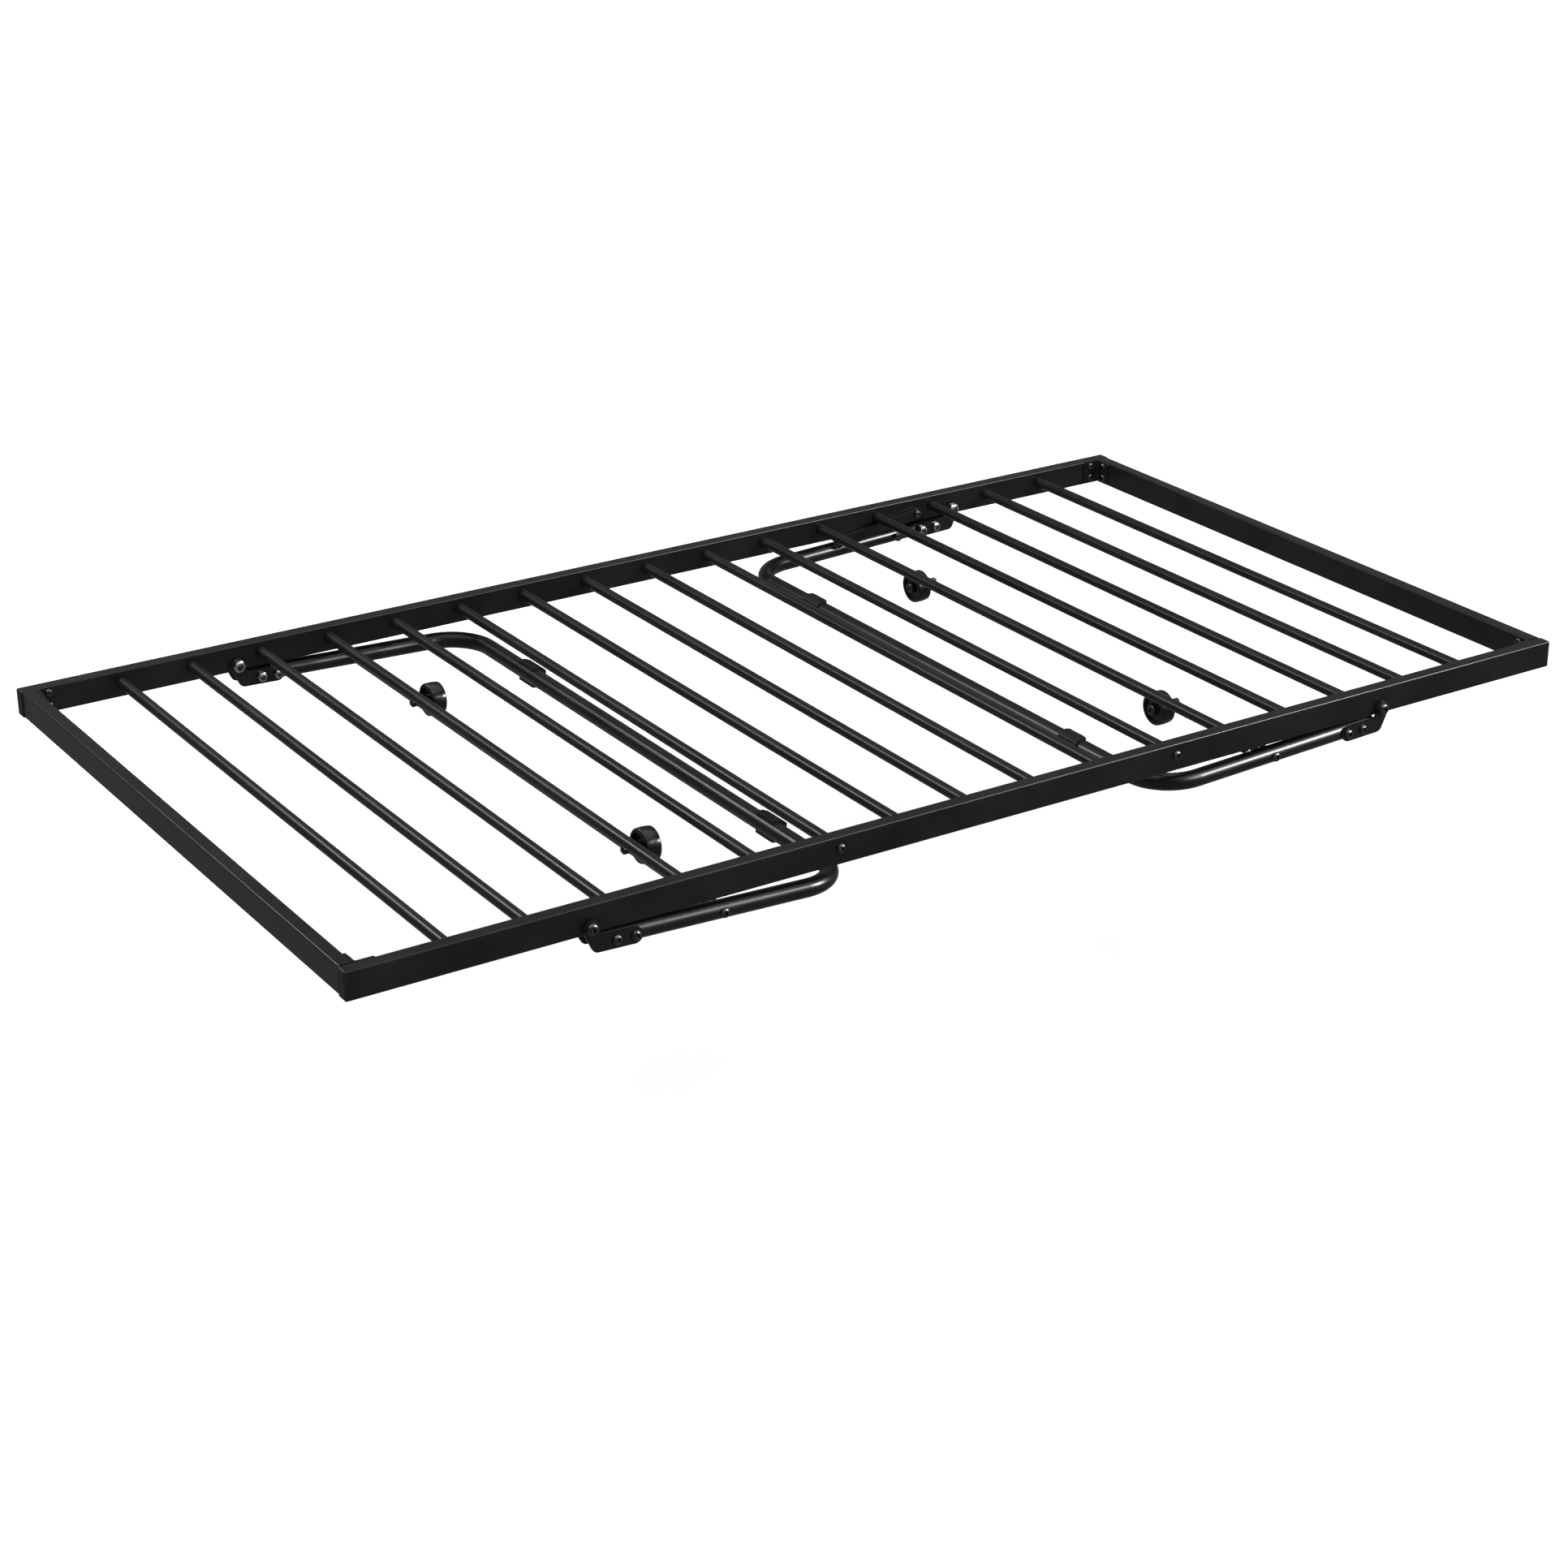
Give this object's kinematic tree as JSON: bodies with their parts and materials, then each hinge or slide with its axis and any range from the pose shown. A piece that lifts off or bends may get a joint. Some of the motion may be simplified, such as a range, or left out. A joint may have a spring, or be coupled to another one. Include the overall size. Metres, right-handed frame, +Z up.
{
  "type": "rollaway bed frame",
  "caption": "Low black steel trundle bed frame with cross slats, two folding U-shaped legs and small wheels, standing lowered with its legs folded flat.",
  "frame": {"origin": "on the floor, at the middle of the frame in length and width", "axes": "+X along the bed towards the end with the stays, +Y from front to back, +Z up"},
  "size_m": [1.95, 1.096, 0.0859],
  "materials": {
    "frame_black": "satin",
    "leg_black": "gloss",
    "dark_nickel": "polished",
    "zinc": "satin",
    "wheel_plastic": "gloss",
    "black_plastic": "matte"
  },
  "bodies": {
    "frame": {"side_rail_front": "frame_black", "side_rail_back": "frame_black", "end_rail_left": "frame_black", "end_rail_right": "frame_black", "slat_01": "frame_black", "slat_02": "frame_black", "slat_03": "frame_black", "slat_04": "frame_black", "slat_05": "frame_black", "slat_06": "frame_black", "slat_07": "frame_black", "slat_08": "frame_black", "slat_09": "frame_black", "slat_10": "frame_black", "slat_11": "frame_black", "slat_12": "frame_black", "slat_13": "frame_black", "slat_14": "frame_black", "slat_15": "frame_black", "slat_16": "frame_black", "rail_end_caps": "black_plastic", "corner_brackets": "frame_black", "corner_bolts": "dark_nickel", "slat_bolts": "dark_nickel", "pivot_bolts": "dark_nickel", "pivot_nuts": "zinc", "pivot_head_washers": "black_plastic", "pivot_washers": "black_plastic", "stay_screws": "dark_nickel", "stay_spacers": "black_plastic"},
    "leg_left": {"leg_left_tube": "leg_black", "leg_left_crossbar": "leg_black", "leg_left_outer_plates": "leg_black", "leg_left_inner_plates": "leg_black", "leg_left_plate_bolts": "dark_nickel", "leg_left_plate_nuts": "zinc", "leg_left_crossbar_bolts": "dark_nickel", "leg_left_tube_plugs": "black_plastic", "leg_left_foot_pads": "black_plastic", "leg_left_axle_bolts": "dark_nickel", "leg_left_axle_nuts": "dark_nickel"},
    "leg_right": {"leg_right_tube": "leg_black", "leg_right_crossbar": "leg_black", "leg_right_outer_plates": "leg_black", "leg_right_inner_plates": "leg_black", "leg_right_plate_bolts": "dark_nickel", "leg_right_plate_nuts": "zinc", "leg_right_crossbar_bolts": "dark_nickel", "leg_right_tube_plugs": "black_plastic", "leg_right_foot_pads": "black_plastic", "leg_right_axle_bolts": "dark_nickel", "leg_right_axle_nuts": "dark_nickel", "leg_right_stay_studs": "dark_nickel"},
    "stay_front": {"stay_front": "leg_black"},
    "stay_back": {"stay_back": "leg_black"},
    "wheel_left_front": {"wheel_left_front": "wheel_plastic"},
    "wheel_left_back": {"wheel_left_back": "wheel_plastic"},
    "wheel_right_front": {"wheel_right_front": "wheel_plastic"},
    "wheel_right_back": {"wheel_right_back": "wheel_plastic"}
  },
  "joints": [
    {"name": "leg_left_fold", "type": "hinge", "parent": "frame", "child": "leg_left", "pos_m": [-0.645, 0, 0.05587], "axis": [0, 1, 0], "range_deg": [0, 87.75]},
    {"name": "leg_right_fold", "type": "hinge", "parent": "frame", "child": "leg_right", "pos_m": [0.645, 0, 0.05587], "axis": [0, -1, 0], "range_deg": [0, 87.75]},
    {"name": "stay_front_swing", "type": "hinge", "parent": "frame", "child": "stay_front", "pos_m": [0.573, -0.511, 0.06087], "axis": [0, -1, 0], "range_deg": [0, 121.4]},
    {"name": "stay_back_swing", "type": "hinge", "parent": "frame", "child": "stay_back", "pos_m": [0.573, 0.511, 0.06087], "axis": [0, -1, 0], "range_deg": [0, 121.4]},
    {"name": "wheel_left_front_roll", "type": "hinge", "parent": "leg_left", "child": "wheel_left_front", "pos_m": [-0.43055, -0.306, 0.02503], "axis": [0.9992, 0, -0.0393], "continuous": true},
    {"name": "wheel_left_back_roll", "type": "hinge", "parent": "leg_left", "child": "wheel_left_back", "pos_m": [-0.43055, 0.306, 0.02503], "axis": [0.9992, 0, -0.0393], "continuous": true},
    {"name": "wheel_right_front_roll", "type": "hinge", "parent": "leg_right", "child": "wheel_right_front", "pos_m": [0.43055, -0.306, 0.02503], "axis": [-0.9992, 0, -0.0393], "continuous": true},
    {"name": "wheel_right_back_roll", "type": "hinge", "parent": "leg_right", "child": "wheel_right_back", "pos_m": [0.43055, 0.306, 0.02503], "axis": [-0.9992, 0, -0.0393], "continuous": true}
  ],
  "couplings": [
    {"joint": "stay_front_swing", "follows": "leg_right_fold", "ratio": 1.3835},
    {"joint": "stay_back_swing", "follows": "leg_right_fold", "ratio": 1.3835}
  ]
}
